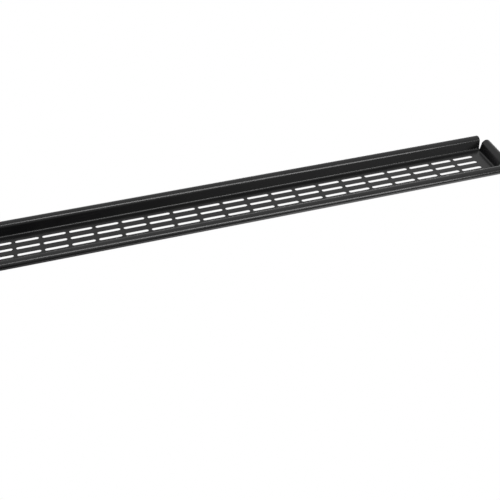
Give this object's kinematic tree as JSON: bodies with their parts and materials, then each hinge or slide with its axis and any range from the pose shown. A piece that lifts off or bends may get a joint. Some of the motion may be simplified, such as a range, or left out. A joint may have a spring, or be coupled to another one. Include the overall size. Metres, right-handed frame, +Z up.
{
  "type": "baguette tray",
  "caption": "Long shallow slotted baking tray folded from black coated sheet, with leaning walls, open corners and half-round lips to lift it by.",
  "frame": {"origin": "Middle of the underside of the slotted floor, the face that the tray rests on.", "axes": "+X runs along the tray, +Y across it, +Z up out of the open channel."},
  "size_m": [0.6, 0.075, 0.0125],
  "materials": {
    "coated_sheet": "satin black baked-on coating on thin sheet"
  },
  "bodies": {
    "root": {"slotted_floor": "coated_sheet", "rear_wall": "coated_sheet", "front_wall": "coated_sheet", "left_end_wall": "coated_sheet", "right_end_wall": "coated_sheet", "rear_lip": "coated_sheet", "front_lip": "coated_sheet", "left_end_lip": "coated_sheet", "right_end_lip": "coated_sheet"}
  },
  "joints": []
}
